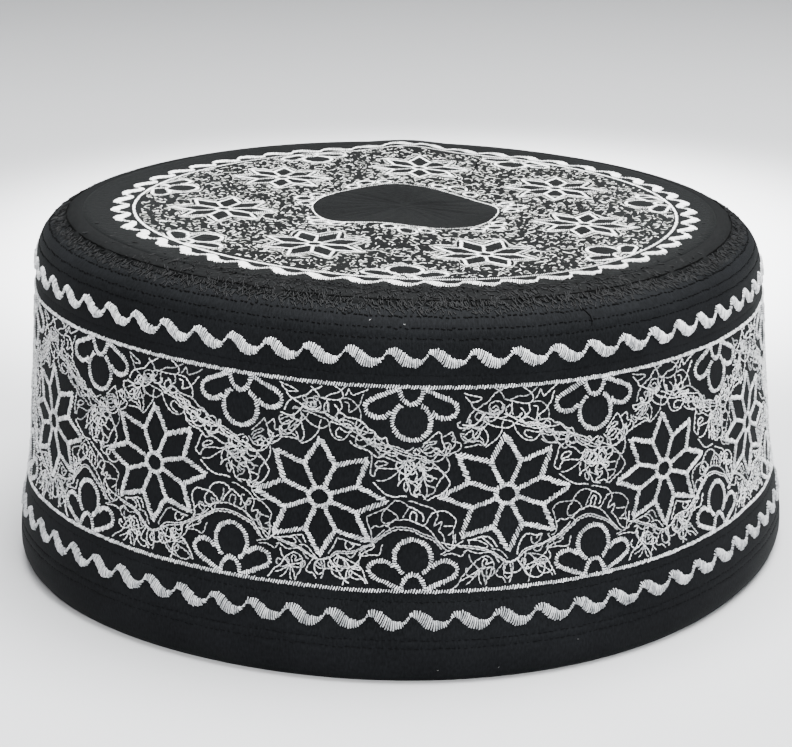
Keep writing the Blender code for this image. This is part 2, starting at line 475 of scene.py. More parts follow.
# ---- The two wave borders of the band
# Embroidered in pale lustrous thread: satin stitches lie side by side, upright, and are longer
# where each wave falls and short where it rises thinly to the next head.
# each border's middle height, waves round the band, and first head in degrees
UPPER_WAVE = (72.0, 63, 3.25)
LOWER_WAVE = (14.3, 65, 0.45)
WAVE_OUTLINE = (
    # share of a wave from its head, lower edge, upper edge, in mm over the middle line
    (0.00, 1.15, 1.50),
    (0.03, 1.05, 1.95),
    (0.10, 0.95, 2.20),
    (0.20, 0.45, 2.15),
    (0.30, -0.45, 1.60),
    (0.40, -1.30, 0.95),
    (0.50, -1.80, 0.35),
    (0.60, -1.88, 0.02),
    (0.70, -1.60, -0.12),
    (0.78, -1.20, -0.28),
    (0.84, -0.66, -0.20),
    (0.88, -0.16, 0.06),
    (0.92, 0.30, 0.36),
    (0.96, 0.74, 0.80),
    (1.00, 1.15, 1.50),
)
WAVE_PITCH = 0.48
WAVE_FAN = 0.55
SATIN_THREAD = 0.35
pale_thread = thread_finish("pale_thread", (0.23, 0.24, 0.25), (0.79, 0.80, 0.81), 0.45, 0.12)


def wave_edges(phase):
    """The lower and the upper edge of a border, at a place counted in waves."""
    share, lower, upper = np.transpose(WAVE_OUTLINE)
    return np.interp(phase % 1.0, share, lower), np.interp(phase % 1.0, share, upper)


def wave_stitches(length, count, pitch, rise=0.44):
    """Satin stitches of a border: (stitches, 4 points, along the border, over it, lift)."""
    fine = np.arange(0.0, count, 0.01)
    bend = 0.5 * np.add(*wave_edges(fine))
    reach = np.cumsum(np.hypot(0.01 * length / count, np.gradient(bend)))
    stitches = int(reach[-1] / pitch)
    phase = np.interp(np.arange(stitches) * reach[-1] / stitches, reach, fine)
    along = phase * length / count
    lower, upper = wave_edges(phase)
    slope = np.gradient(0.5 * (lower + upper), along)
    lower = lower - hand.uniform(-0.12, 0.22, stitches)
    upper = upper + hand.uniform(-0.12, 0.22, stitches)
    tilt = WAVE_FAN * np.clip(slope, -1.1, 0.9) * (upper - lower)
    rows = []
    for share, lift in ((0.0, 0.0), (0.18, 0.95), (0.80, 1.0), (1.0, 0.0)):
        rows.append(np.column_stack((
            along + tilt * (0.5 - share), lower + share * (upper - lower),
            lift * hand.uniform(0.75 * rise, 1.15 * rise, stitches))))
    return np.stack(rows, axis=1)


# Painted shade: the wave borders use darker copies of the pale thread. The upper one is greyer, as satin
# seen from the side, and the lower one darker still, for the foot of the band that gets less light.
painted_shade_high_thread = thread_finish("painted_shade_high_thread", (0.21, 0.22, 0.23), (0.70, 0.71, 0.72), 0.45, 0.12)
painted_shade_low_thread = thread_finish("painted_shade_low_thread", (0.18, 0.19, 0.20), (0.49, 0.50, 0.51), 0.45, 0.10)
for name, node, (middle, count, start), finish in (
        ("upper_wave_satin", "upper_wave", UPPER_WAVE, painted_shade_high_thread),
        ("lower_wave_satin", "lower_wave", LOWER_WAVE, painted_shade_low_thread)):
    stitches = wave_stitches(2.0 * pi * PATTERN_RADIUS, count, WAVE_PITCH)
    stitches[..., 0] += radians(start) * PATTERN_RADIUS
    stitches[..., 1] += middle
    lay_threads(name, on_band(*np.moveaxis(stitches, -1, 0)), SATIN_THREAD,
                finish, "light_thread", node)

# ---- The two lines of the band's panel
# Narrow cords of close satin stitches in the same pale thread bound the panel of stars above
# and below.
UPPER_LINE = 65.9
LOWER_LINE = 20.8
LINE_WIDTH = 0.70
LINE_PITCH = 0.58
LINE_THREAD = 0.33


def reach_of(path):
    """How far along a path each of its points lies."""
    return np.concatenate(([0.0], np.cumsum(np.hypot(*np.diff(path, axis=0).T))))


def at_stops(path, stops):
    """The points at some distances along a path."""
    reach = reach_of(path)
    return np.column_stack([np.interp(stops, reach, path[:, axis]) for axis in (0, 1)])


def ahead_and_across(ahead):
    """Directions along a path at unit length, and those to their left."""
    ahead = ahead / np.hypot(*ahead.T)[:, None]
    return ahead, np.column_stack((-ahead[:, 1], ahead[:, 0]))


def satin(path, width, pitch, slant=0.3, lift=0.38, ragged=0.25):
    """Cross a path with close stitches: (stitches, 3 points, along, up, lift), in mm."""
    path = np.array(path, float)
    length = reach_of(path)[-1]
    count = max(int(length / pitch), 2)
    stops = (np.arange(count) + 0.5) * length / count
    middles = at_stops(path, stops)
    ahead, across = ahead_and_across(at_stops(path, stops + 0.3) - at_stops(path, stops - 0.3))
    lying = across * cos(slant) + ahead * sin(slant)
    half = 0.5 * width * (1.0 + ragged * hand.uniform(-1.0, 1.0, count))[:, None]
    middles = middles + 0.10 * across * hand.uniform(-1.0, 1.0, (count, 1))
    return arc_stitches(middles - half * lying, middles + half * lying, 0.02, lift)


def set_down(stitches, place, stretch=(1.0, 1.0)):
    """Stretch flat work about its own middle and set it down at a place."""
    stitches[..., :2] = np.array(place) + np.array(stretch) * stitches[..., :2]
    return stitches


lines = []
whole_turn = 2.0 * pi * PATTERN_RADIUS
for line_height in (UPPER_LINE, LOWER_LINE):
    path = np.column_stack((np.linspace(0.0, whole_turn, 400), np.full(400, line_height)))
    lines.append(satin(path, LINE_WIDTH, LINE_PITCH, 0.45, 0.32, 0.35))
lines = np.concatenate(lines)
lay_threads("panel_lines", on_band(*np.moveaxis(lines, -1, 0)), LINE_THREAD,
            pale_thread, "light_thread")

# ---- The fourteen stars
# Each star is eight pointed petals round a small ring, drawn in slanting satin stitches a
# little over a millimetre wide. The cloth shows inside the petals.
STAR_COUNT = 14
SEEN_STARS = (
    # angle of the star and its height, then the angles of the flowers after it on the upper
    # and the lower line, in degrees from the front towards the right: all but the last two
    # are the output of a scratch program that placed the photo's stars and flowers on the band
    (-62.9, 41.1, -49.4, -51.6),
    (-37.7, 41.7, -23.3, -24.6),
    (-11.7, 40.7, 0.8, 0.8),
    (13.6, 41.9, 27.1, 26.3),
    (39.6, 41.0, 54.1, 52.9),
    (65.4, 41.5, 79.2, 78.0),
)
STAR_TIP = 13.7
STAR_NOTCH = 8.1
STAR_RING = 2.25
STAR_STRETCH = (1.07, 0.955)
STAR_EDGE_WIDTH = 1.32
STAR_SPOKE_WIDTH = 1.00
STAR_THREAD = 0.35
hidden = STAR_COUNT - len(SEEN_STARS)
hidden_step = (360.0 - SEEN_STARS[-1][0] + SEEN_STARS[0][0]) / (hidden + 1)
repeats = list(SEEN_STARS)
for number in range(1, hidden + 1):
    angle = SEEN_STARS[-1][0] + number * hidden_step
    height = 41.3 + 0.4 * (-1.0) ** number
    repeats.append((angle, height, angle + 0.5 * hidden_step + 0.9, angle + 0.5 * hidden_step - 0.2))
star_places = [(radians(row[0]) * PATTERN_RADIUS, row[1]) for row in repeats]


def turned(radius, degrees):
    """A point at a distance and a direction, in mm."""
    return np.array((radius * cos(radians(degrees)), radius * sin(radians(degrees))))


def star_strokes(tip, notch, ring, turn, unevenness):
    """The strokes of a star round its own middle: spokes, petal edges and the ring."""
    notches, tips = [], []
    for petal in range(8):
        wobble = hand.uniform(-unevenness, unevenness, (2, 2))
        tips.append(turned(tip, turn + 45.0 * petal) + wobble[0])
        notches.append(turned(notch, turn + 45.0 * petal + 22.5) + wobble[1])
    strokes = []
    for petal in range(8):
        foot = turned(ring, turn + 45.0 * petal + 22.5)
        strokes.append([foot, notches[petal]])
        strokes.append([notches[petal - 1], tips[petal]])
        strokes.append([tips[petal], notches[petal]])
    strokes.append([turned(ring, step * 20.0) for step in range(19)])
    return strokes


stars = []
for along, up in star_places:
    for number, stroke in enumerate(star_strokes(STAR_TIP, STAR_NOTCH, STAR_RING, 0.0, 0.25)):
        if number % 3 == 0:
            stitches = satin(stroke, STAR_SPOKE_WIDTH, 0.52, 0.6, 0.34)
        else:
            stitches = satin(stroke, STAR_EDGE_WIDTH, 0.59, 0.8, 0.32, 0.3)
        stars.append(set_down(stitches, (along, up), STAR_STRETCH))
stars = np.concatenate(stars)
lay_threads("band_stars", on_band(*np.moveaxis(stars, -1, 0)), STAR_THREAD,
            pale_thread, "light_thread")

# ---- The half flowers of the band
# Half flowers hang from the upper line and stand on the lower one, between the stars: a large
# round petal over a small loop, and a drop-shaped petal on either side.
FLOWER_PETAL = (7.5, 4.15)
FLOWER_LOOP = (2.6, 3.8)
FLOWER_SIDE = (
    # along, away from the line
    (3.0, 0.5), (4.2, 1.0), (6.0, 1.8), (8.0, 2.6), (9.4, 3.4), (10.0, 4.6), (9.5, 5.9),
    (8.2, 6.7), (6.6, 6.8), (5.2, 6.3), (4.3, 5.4),
)
FLOWER_WIDTH = 0.90
BOTTOM_FLOWER_SCALE = (0.94, 0.98)


def flower_strokes():
    """The strokes of a half flower, from the middle of its foot on the line."""
    middle, reach = FLOWER_PETAL
    petal = [(reach * sin(radians(turn)), middle + reach * cos(radians(turn)))
             for turn in range(-150, 151, 10)]
    across, away = FLOWER_LOOP
    loop = [(-across * cos(radians(turn)), away * sin(radians(turn)))
            for turn in range(0, 181, 12)]
    left = [(-along, away) for along, away in FLOWER_SIDE]
    return [petal, loop, list(FLOWER_SIDE), left]


flower_places = []
for _, _, top_angle, bottom_angle in repeats:
    flower_places.append((radians(top_angle) * PATTERN_RADIUS, UPPER_LINE, 1.0, -1.0))
    flower_places.append((radians(bottom_angle) * PATTERN_RADIUS, LOWER_LINE,
                          *BOTTOM_FLOWER_SCALE))
flowers = []
for along, foot, stretch, rise in flower_places:
    for stroke in flower_strokes():
        stitches = satin(stroke, FLOWER_WIDTH, 0.55, 0.35, 0.34, 0.3)
        flowers.append(set_down(stitches, (along, foot), (stretch, rise)))
flowers = np.concatenate(flowers)
lay_threads("band_half_flowers", on_band(*np.moveaxis(flowers, -1, 0)), STAR_THREAD,
            pale_thread, "light_thread")

# ---- The curling fill of the band
# Fine pale running stitches run and curl between stars and flowers: a thick garland over the
# stars, a knot under each hanging flower, a shell over each standing one and a stem below.
FILL_STITCH = 0.98
STAR_CLEARANCE = 1.30
FLOWER_KEEP_OFF = (
    # along, away from the line, radius
    (0.0, 7.5, 5.4), (6.9, 3.9, 3.9), (-6.9, 3.9, 3.9), (4.0, 2.0, 3.0), (-4.0, 2.0, 3.0),
)


def unevenness(length, wave, step):
    """A smooth uneven curve about zero, about one high, sampled every step mm."""
    place = np.arange(0.0, length, step)
    curve = np.zeros(len(place))
    for part in (1.0, 0.61, 0.37):
        curve += np.sin(2.0 * pi * place / (wave * part) + hand.uniform(0.0, 2.0 * pi))
    return curve / 1.6


def resample(path, step):
    """Points every step mm along a path."""
    return at_stops(path, np.arange(0.0, reach_of(path)[-1], step))


def curl(guide, wander, loop, pitch, stitch=FILL_STITCH):
    """Thread that curls along a guide: loops of a radius, one each pitch, wandering sideways."""
    step = 0.1 * pitch
    guide = resample(np.array(guide, float), step)
    ahead, across = ahead_and_across(np.gradient(guide, axis=0))
    length = step * len(guide) + 1.0
    drift = unevenness(length, 17.0, step)[:len(guide)] * wander
    swell = loop * (1.0 + 0.35 * unevenness(length, 7.0, step)[:len(guide)])
    pace = np.exp(0.35 * unevenness(length, 11.0, step)[:len(guide)])
    turn = np.cumsum(0.2 * pi * pace)
    path = guide + across * drift[:, None]
    path = path + swell[:, None] * (np.cos(turn)[:, None] * ahead + np.sin(turn)[:, None] * across)
    needle = resample(path, stitch)
    return needle + hand.uniform(-0.07, 0.07, needle.shape)


def keep_off_stars(points, places, tip, notch, stretch, clearance, turn=0.0):
    """Push points out of the stars, to a line that follows their outline."""
    for along, up in places:
        local = (points - (along, up)) / stretch
        distance = np.hypot(*local.T)
        direction = np.degrees(np.arctan2(local[:, 1], local[:, 0])) - turn
        share = np.abs((direction + 22.5) % 45.0 - 22.5) / 22.5
        limit = (tip + clearance) * (1.0 - share) + (notch + 1.15 * clearance) * share
        inside = distance < limit
        grow = np.where(inside, limit / np.maximum(distance, 0.01), 1.0)
        points = np.array((along, up)) + local * grow[:, None] * stretch
    return points


def keep_off_rounds(points, rounds):
    """Push points out of circles of (along, up, radius)."""
    for along, up, reach in rounds:
        local = points - (along, up)
        distance = np.hypot(*local.T)
        grow = np.where(distance < reach, reach / np.maximum(distance, 0.01), 1.0)
        points = np.array((along, up)) + local * grow[:, None]
    return points


FILL_THREAD = 0.30
LONGEST_STITCH = 1.9
CHART_GAP = 41.7
CHART_TOP_FLOWER = 22.6
CHART_BOTTOM_FLOWER = 21.05
CHART_FOOT = 21.0
CHART_STRETCH = 1.0135
CHART_LOW = 33.0
CHART_BLEND = 20.0
FLOWER_SIGHT = 34.0
SWAYS = (
    # how far and how slowly a run sways with its place along, and with its place up
    (0.30, 2.9, 0.25, 1.9),
    (0.30, 2.3, 0.20, 2.1),
)
GARLAND_CHART = (
    # charted from the photo: runs of thread over a star and on to the top flower, as
    # along, up, along, up, ... in tenths of a mm from the star's middle and from the floor
    (-90, 644, -75, 639, -48, 631, -65, 626, -76, 625, -87, 637),
    (-76, 625, -72, 616, -62, 610, -50, 604, -40, 600, -30, 597, -15, 596, -2, 603),
    (-82, 582, -78, 595, -70, 607, -62, 610, -48, 618, -35, 623, -28, 630, -20, 639, -12, 642, 6, 650),
    (-21, 649, -13, 642, -6, 635, -5, 627, 0, 623, 15, 623, 25, 631, 40, 631, 50, 634, 58, 639, 72, 649),
    (40, 650, 50, 644, 58, 638, 60, 630, 61, 623, 52, 618, 37, 617, 22, 619, 3, 623),
    (-27, 608, -20, 613, -12, 609, -12, 602, -20, 599, -28, 602, -36, 613, -26, 620, -14, 621, -5, 616, -1,
     607, -4, 596, -13, 592, -29, 594, -39, 601),
    (-42, 600, -50, 588, -60, 577, -75, 575, -90, 578),
    (-43, 584, -37, 578, -30, 572, -20, 566, -10, 562, 5, 560, 15, 563, 23, 570, 32, 578, 44, 589, 56, 588),
    (-43, 590, -25, 589, -15, 586, -3, 582, 10, 578, 20, 576, 24, 562, 28, 552, 36, 540, 46, 534, 60, 533,
     70, 538, 79, 547, 81, 556, 73, 566, 60, 570),
    (0, 593, 16, 589, 22, 584, 34, 579, 50, 570, 60, 563, 75, 559, 90, 562, 105, 558),
    (25, 573, 40, 569, 54, 565, 66, 569, 80, 566, 88, 556, 76, 550, 62, 554, 50, 560, 42, 550, 46, 542, 59,
     538),
    (0, 578, -3, 568, -4, 553, -10, 544, -20, 534, -30, 527, -42, 522),
    (-46, 570, -40, 560, -36, 550, -35, 538, -38, 530, -46, 524),
    (15, 620, 15, 608, 17, 600, 19, 592),
    (34, 608, 42, 601, 44, 592, 56, 588, 62, 582, 75, 580, 90, 580, 103, 578, 115, 572, 120, 564, 133, 563,
     140, 557, 148, 548, 156, 545, 165, 549, 168, 540, 170, 533),
    (50, 620, 53, 610, 57, 603, 50, 596, 43, 590, 39, 583, 46, 574, 60, 577, 76, 573, 90, 569),
    (62, 612, 73, 610, 74, 600, 71, 590, 82, 594, 92, 600, 97, 607, 105, 615, 110, 625, 118, 633),
    (58, 620, 70, 621, 80, 620, 90, 612, 97, 605, 101, 598, 104, 588, 103, 579),
    (66, 626, 73, 634, 80, 646, 82, 634, 85, 628, 100, 636, 115, 643, 126, 650),
    (90, 566, 105, 559, 125, 556, 136, 559, 143, 550, 153, 540, 170, 531, 190, 527, 200, 522, 212, 514, 220,
     519, 230, 523),
    (86, 555, 100, 551, 110, 546, 130, 540, 150, 535, 170, 529, 185, 523, 196, 516, 210, 512, 225, 504, 240,
     506, 254, 496, 270, 493, 285, 500, 293, 508, 298, 520, 306, 534),
    (82, 546, 92, 543, 105, 536, 120, 543, 136, 533, 154, 525, 170, 529, 186, 516, 203, 507, 220, 501, 240,
     496, 260, 492, 276, 481, 290, 468, 299, 480, 300, 495, 296, 507),
    (80, 534, 90, 524, 105, 520, 122, 518, 132, 510, 140, 502, 152, 506, 163, 515, 176, 515, 186, 510),
    (100, 554, 116, 542, 126, 532, 142, 538, 156, 522, 144, 514, 152, 505, 164, 504, 177, 496, 190, 489,
     203, 495, 216, 490, 226, 496),
    (129, 512, 123, 500, 121, 488, 114, 472, 124, 461, 131, 458, 132, 468, 140, 479, 132, 483, 142, 495,
     156, 494, 164, 492, 147, 483, 133, 482),
    (136, 478, 150, 478, 165, 479, 180, 477, 193, 483, 202, 492),
    (135, 452, 150, 452, 164, 457, 180, 468, 190, 477, 204, 487),
    (188, 472, 185, 460, 187, 448, 182, 436, 184, 442, 190, 450, 199, 455, 208, 462),
    (205, 490, 200, 478, 199, 463, 202, 452, 208, 440, 203, 427, 198, 436, 200, 449, 212, 447, 220, 443,
     229, 437),
    (220, 490, 224, 480, 216, 472, 208, 465, 218, 460, 224, 470, 229, 462, 224, 453, 229, 443, 239, 445,
     236, 436, 226, 430, 218, 422, 230, 416),
    (209, 492, 217, 486, 212, 479, 203, 480, 204, 471, 213, 469, 222, 476, 230, 484, 238, 493),
    (210, 456, 208, 442, 215, 432, 212, 422, 224, 419, 234, 423, 244, 420, 248, 412),
    (238, 484, 234, 474, 243, 465, 243, 453, 250, 443, 252, 430, 250, 420, 243, 412),
    (226, 456, 234, 449, 244, 452, 251, 442, 263, 440, 272, 438, 269, 430, 258, 424, 250, 419),
    (240, 488, 250, 476, 260, 479, 273, 479, 283, 473, 290, 468, 282, 460, 276, 450, 272, 440),
    (242, 470, 250, 464, 260, 458, 272, 457),
    (289, 468, 295, 459, 301, 450, 297, 441, 290, 433, 282, 426, 272, 423, 260, 416, 251, 410),
    (129, 449, 140, 440, 151, 430, 163, 423, 174, 419, 190, 420, 203, 418),
    (249, 536, 260, 544, 272, 553, 286, 564, 289, 556, 292, 544, 296, 530, 294, 520, 286, 519, 276, 527),
    (248, 524, 254, 534, 268, 540, 281, 544, 278, 536, 262, 532, 249, 518, 260, 523, 271, 530, 276, 522,
     266, 516, 252, 512, 242, 523),
    (227, 514, 233, 521, 241, 516, 240, 508, 232, 506, 226, 511),
    (250, 512, 264, 504, 276, 512, 283, 520, 293, 515, 298, 508, 310, 516, 322, 520),
    (292, 552, 303, 558, 310, 563, 313, 552, 310, 540, 320, 541, 329, 534, 326, 525, 315, 517, 304, 515),
    (-90, 578, -78, 575, -63, 575, -53, 583, -46, 592, -38, 600),
    (-90, 562, -80, 568, -70, 572, -62, 569, -50, 568, -44, 574, -42, 582),
    (-86, 552, -76, 560, -66, 566, -66, 556, -70, 546, -60, 545, -52, 554, -46, 564),
    (-90, 533, -80, 540, -70, 546, -60, 556, -52, 566),
    (-90, 550, -82, 542, -70, 536, -58, 540, -50, 530, -42, 525),
    (-90, 525, -75, 527, -60, 530, -50, 526, -46, 536, -53, 546),
)
LOOPED_CHART = (
    # guides of the thread that loops along the garland, the knots and the stars' feet
    (-90, 560, -50, 586, -20, 602, 20, 596, 60, 582, 90, 564, 130, 542, 170, 524, 205, 504, 240, 498, 280,
     510, 300, 528, 320, 546),
    (-90, 542, -60, 562, -45, 595, -15, 612, 10, 610),
    (80, 550, 120, 532, 160, 518),
    (190, 485, 220, 465, 255, 472, 240, 445, 215, 436),
    (205, 476, 235, 484, 270, 488),
    (-95, 246, -70, 262, -46, 250, -26, 242),
    (-5, 244, 26, 256, 54, 266, 90, 264),
    (40, 240, 66, 242, 94, 240),
)
SIDE_CHART = (
    # guides of more loops round the bottom flowers and the stars' feet, towards the sides
    (110, 324, 135, 344, 160, 366, 185, 386),
    (235, 384, 260, 368, 280, 342, 294, 316),
    (250, 420, 275, 404, 300, 380),
    (-90, 282, -60, 274, -30, 264),
    (30, 266, 60, 272, 90, 282),
)
FRONT_SPAN = 20.0
SHELL_CHART = (
    # runs below the stars and over the bottom flower, in the same way
    (105, 314, 109, 330, 105, 345, 106, 362, 112, 376, 126, 385, 142, 385, 158, 387, 170, 380, 178, 372,
     181, 360, 172, 364, 162, 356, 149, 352, 142, 360, 146, 374, 154, 382, 160, 396, 170, 406, 184, 410,
     198, 407, 208, 398, 202, 389, 195, 380, 190, 370),
    (208, 412, 220, 410, 232, 403, 244, 399, 255, 392, 260, 384, 265, 374, 258, 364, 253, 350, 262, 355,
     272, 360, 269, 349, 263, 339, 270, 336, 278, 326, 282, 312, 290, 304, 300, 300),
    (248, 380, 262, 382, 276, 383, 288, 378, 300, 368, 307, 358, 301, 345, 298, 336, 302, 326, 300, 310,
     296, 298, 284, 295, 272, 290),
    (275, 349, 298, 348),
    (287, 329, 298, 336),
    (228, 354, 238, 360, 244, 372, 251, 380),
    (229, 362, 234, 379, 228, 384, 218, 394, 208, 398),
    (224, 357, 214, 364, 220, 376, 219, 386, 212, 388, 206, 380, 204, 364),
    (180, 362, 190, 366, 204, 366, 212, 362, 224, 357, 234, 352, 248, 340, 260, 326, 270, 314, 280, 302),
    (90, 286, 100, 298, 110, 304, 120, 309, 132, 319, 146, 329, 160, 340, 172, 348, 188, 350, 202, 350, 214,
     346, 226, 340, 240, 334, 254, 327, 264, 318, 276, 306, 286, 298),
    (122, 304, 134, 315, 148, 326, 162, 336, 174, 343, 188, 345, 202, 345, 214, 342, 226, 335, 240, 329,
     254, 322, 264, 313, 275, 301),
    (111, 333, 120, 342, 130, 348, 140, 344, 152, 350, 166, 340, 154, 330, 144, 326, 136, 320, 124, 314),
    (122, 314, 134, 305, 124, 300, 110, 294, 96, 288),
    (94, 286, 110, 285, 122, 288, 134, 283, 144, 289, 146, 302, 150, 310),
    (154, 347, 164, 356, 175, 365),
    (300, 300, 312, 312, 324, 320),
    (276, 286, 292, 290, 306, 289, 316, 283, 322, 287, 328, 298),
    # the stem's two cords of thread, and the loops under and over them
    (-143, 321, -111, 313, -81, 307, -58, 298, -42, 292, -23, 278, -6, 266, 8, 270, 21, 275, 34, 291, 55,
     295, 83, 298, 102, 306, 121, 314, 140, 330, 151, 341),
    (-106, 310, -86, 304, -66, 298, -46, 290, -26, 276, -10, 265, 10, 267, 26, 277, 40, 288, 60, 291, 80,
     294, 100, 302, 116, 308),
    (-55, 281, -45, 276, -38, 266, -36, 256, -40, 245, -43, 236, -49, 228, -52, 216),
    (-53, 282, -64, 276, -74, 270, -81, 263, -87, 254, -94, 245, -106, 238, -115, 231, -124, 220),
    (-87, 289, -85, 277, -81, 267, -74, 259, -68, 253, -62, 245, -55, 232, -52, 220),
    (-60, 254, -62, 266, -60, 273, -53, 274, -50, 269, -55, 258, -45, 263, -38, 266),
    (-102, 230, -87, 237, -74, 243, -68, 251, -55, 252, -42, 253, -41, 241, -45, 230),
    (-90, 222, -78, 230, -66, 251, -65, 240, -66, 229, -60, 218),
    (-13, 268, -23, 255, -30, 242, -32, 236, -23, 233, -15, 233, -8, 222),
    (-4, 267, -11, 258, -13, 248, -11, 235, -4, 230, 4, 234, 8, 247, 8, 260, 6, 268),
    (0, 263, 3, 253, 6, 244, 6, 234, 2, 222),
    (19, 273, 26, 261, 34, 251, 41, 241, 47, 233, 53, 229, 64, 224),
    (42, 283, 38, 270, 36, 259, 44, 253, 53, 255, 62, 257, 74, 262, 81, 267, 91, 276, 96, 283, 94, 295),
    (51, 279, 60, 269, 66, 255, 57, 253, 57, 242, 53, 230, 50, 218),
    (66, 254, 75, 246, 87, 240, 96, 235, 106, 222),
    (68, 256, 79, 255, 91, 251, 92, 257, 83, 260, 74, 258),
    (79, 269, 92, 259, 100, 245, 107, 234, 114, 224),
    (34, 286, 47, 281, 60, 278, 72, 272, 79, 269),
    (60, 296, 62, 286, 70, 280, 79, 286, 83, 294),
    (19, 283, 23, 300, 30, 313, 38, 324, 51, 327, 64, 322, 77, 317, 85, 321),
    (60, 319, 58, 309, 62, 301, 74, 302, 81, 311, 87, 319, 78, 322, 72, 312),
    (85, 336, 94, 324, 102, 312, 108, 300, 113, 288),
    (-109, 317, -106, 330, -98, 341, -91, 347),
    (-83, 311, -81, 325, -72, 332, -60, 332, -47, 326, -36, 320, -30, 310, -27, 303),
    (-58, 325, -51, 317, -43, 309, -36, 300),
    (-76, 322, -62, 316, -53, 310, -45, 301, -56, 299, -68, 304),
    (-98, 296, -89, 300, -81, 294, -72, 288, -58, 289, -45, 290, -34, 287),
    (-42, 297, -30, 297, -19, 296, -11, 283, -6, 275),
    (-38, 293, -34, 283, -32, 273, -24, 264),
)


def chart_places(run, number):
    """Fit a charted run between the stars and the flowers of one repeat, in mm."""
    run = np.array(run).reshape(-1, 2) / 10.0
    up = LOWER_LINE + (run[:, 1] - CHART_FOOT) * CHART_STRETCH
    share = np.clip((up - CHART_LOW) / CHART_BLEND, 0.0, 1.0)

    def blended(top, bottom):
        """A value between those of the top and the bottom flower, by height."""
        return top * share + bottom * (1.0 - share)

    turn, here = divmod(number + 1, STAR_COUNT)
    star, after = repeats[number][0], repeats[here][0] + 360.0 * turn
    flower = blended(*repeats[number][2:])
    back = 360.0 if number == 0 else 0.0
    before = blended(*repeats[number - 1][2:]) - back
    middle = blended(CHART_TOP_FLOWER, CHART_BOTTOM_FLOWER)
    chart = run[:, 0]
    angle = np.where(
        chart < 0.0, star + chart * (star - before) / (CHART_GAP - middle),
        np.where(chart < middle, star + chart * (flower - star) / middle,
                 flower + (chart - middle) * (after - flower) / (CHART_GAP - middle)))
    return np.column_stack((np.radians(angle) * PATTERN_RADIUS, up))


def rounded(points):
    """Run a smooth line through charted points and stitch along it."""
    before = np.vstack((points[:1], points[:-1]))
    after = np.vstack((points[1:], points[-1:]))
    slopes = 0.5 * (after - before)
    parts = []
    for share in np.linspace(0.0, 1.0, 6)[:-1]:
        rest = 1.0 - share
        parts.append(
            rest ** 2 * (1.0 + 2.0 * share) * points[:-1]
            + share ** 2 * (3.0 - 2.0 * share) * points[1:]
            + rest ** 2 * share * slopes[:-1] - share ** 2 * rest * slopes[1:])
    line = np.stack(parts, axis=1).reshape(-1, 2)
    return np.vstack((resample(np.vstack((line, points[-1:])), 1.12), points[-1:]))


def running_stitches(points):
    """Thread that dips at each stitch's ends: (points, along, up, lift), in mm."""
    rows = [(*points[0], -0.16)]
    for start, end in zip(points, points[1:]):
        parts = int(np.hypot(*(end - start)) / LONGEST_STITCH) + 1
        crest = hand.uniform(0.08, 0.28)
        for part in range(parts):
            rows.append((*(start + (end - start) * (part + 0.5) / parts), crest))
            rows.append((*(start + (end - start) * (part + 1.0) / parts), -0.13))
    return np.array(rows)


flower_rounds = []
for along, foot, stretch, rise in flower_places:
    for shift, away, reach in FLOWER_KEEP_OFF:
        flower_rounds.append((along + stretch * shift, foot + rise * away, reach * abs(rise)))


def lay_charted_fill(name, charted, looped=False, bare_span=0.0):
    """Repeat charted runs round the band, each time a little differently."""
    runs = []
    for number in range(STAR_COUNT):
        if abs((repeats[number][0] + 180.0) % 360.0 - 180.0) < bare_span:
            continue
        star = star_places[number]
        phases = hand.uniform(0.0, 2.0 * pi, 4)
        nearby = []
        for along, up, reach in flower_rounds:
            along = along - whole_turn * round((along - star[0]) / whole_turn)
            if abs(along - star[0]) < FLOWER_SIGHT:
                nearby.append((along, up, reach))
        for run in charted:
            points = chart_places(run, number)
            points = curl(points, 0.4, 1.2, 3.0) if looped else rounded(points)
            along, up = points.T.copy()
            for axis, (wide, length, high, rise) in enumerate(SWAYS):
                first, second = phases[2 * axis:2 * axis + 2]
                points[:, axis] += (wide * np.sin(along / length + first)
                                    + high * np.sin(up / rise + second))
            points += hand.uniform(-0.07, 0.07, points.shape)
            points = keep_off_rounds(points, nearby)
            points = keep_off_stars(points, [star], STAR_TIP, STAR_NOTCH,
                                    STAR_STRETCH, STAR_CLEARANCE)
            points[:, 1] = np.clip(points[:, 1], LOWER_LINE + 0.3, UPPER_LINE - 0.3)
            runs.append(on_band(*running_stitches(points).T))
    lay_threads(name, runs, FILL_THREAD, pale_thread, "light_thread", sides=3)


lay_charted_fill("garland", GARLAND_CHART)
lay_charted_fill("shell_and_stem", SHELL_CHART)
lay_charted_fill("loops", LOOPED_CHART, True)
lay_charted_fill("side_loops", SIDE_CHART, True, FRONT_SPAN)

# ---- The crown
# Two round layers of the same black cotton, stiffened by dense stitching and slightly slack,
# so they swell and dip. Small gathers run to the middle of the plain disc.
CROWN_WALL = 2.0
CROWN_EDGE = 77.6
CROWN_DROPS = ((0.0, 0.0), (48.0, 0.0), (61.0, 0.1), (70.0, 0.2), (77.6, 0.4))
CROWN_SWELLS = (
    # across, back, rise, reach across, reach back, in mm
    (-4.0, -24.0, 1.4, 10.0, 11.0),
    (-2.0, 20.0, 0.8, 9.0, 14.0),
    (18.0, 13.0, -1.4, 11.0, 12.0),
    (18.0, -14.0, -0.7, 9.0, 10.0),
    (-18.0, -12.0, -0.8, 9.0, 10.0),
    (18.0, -43.0, -0.6, 14.0, 12.0),
    (1.0, 67.0, 1.7, 10.0, 13.0),
)
PATTERN_MIDDLE = (1.3, -2.0)
GATHER_MIDDLE = (0.4, 1.0)
GATHER_COUNT = 26
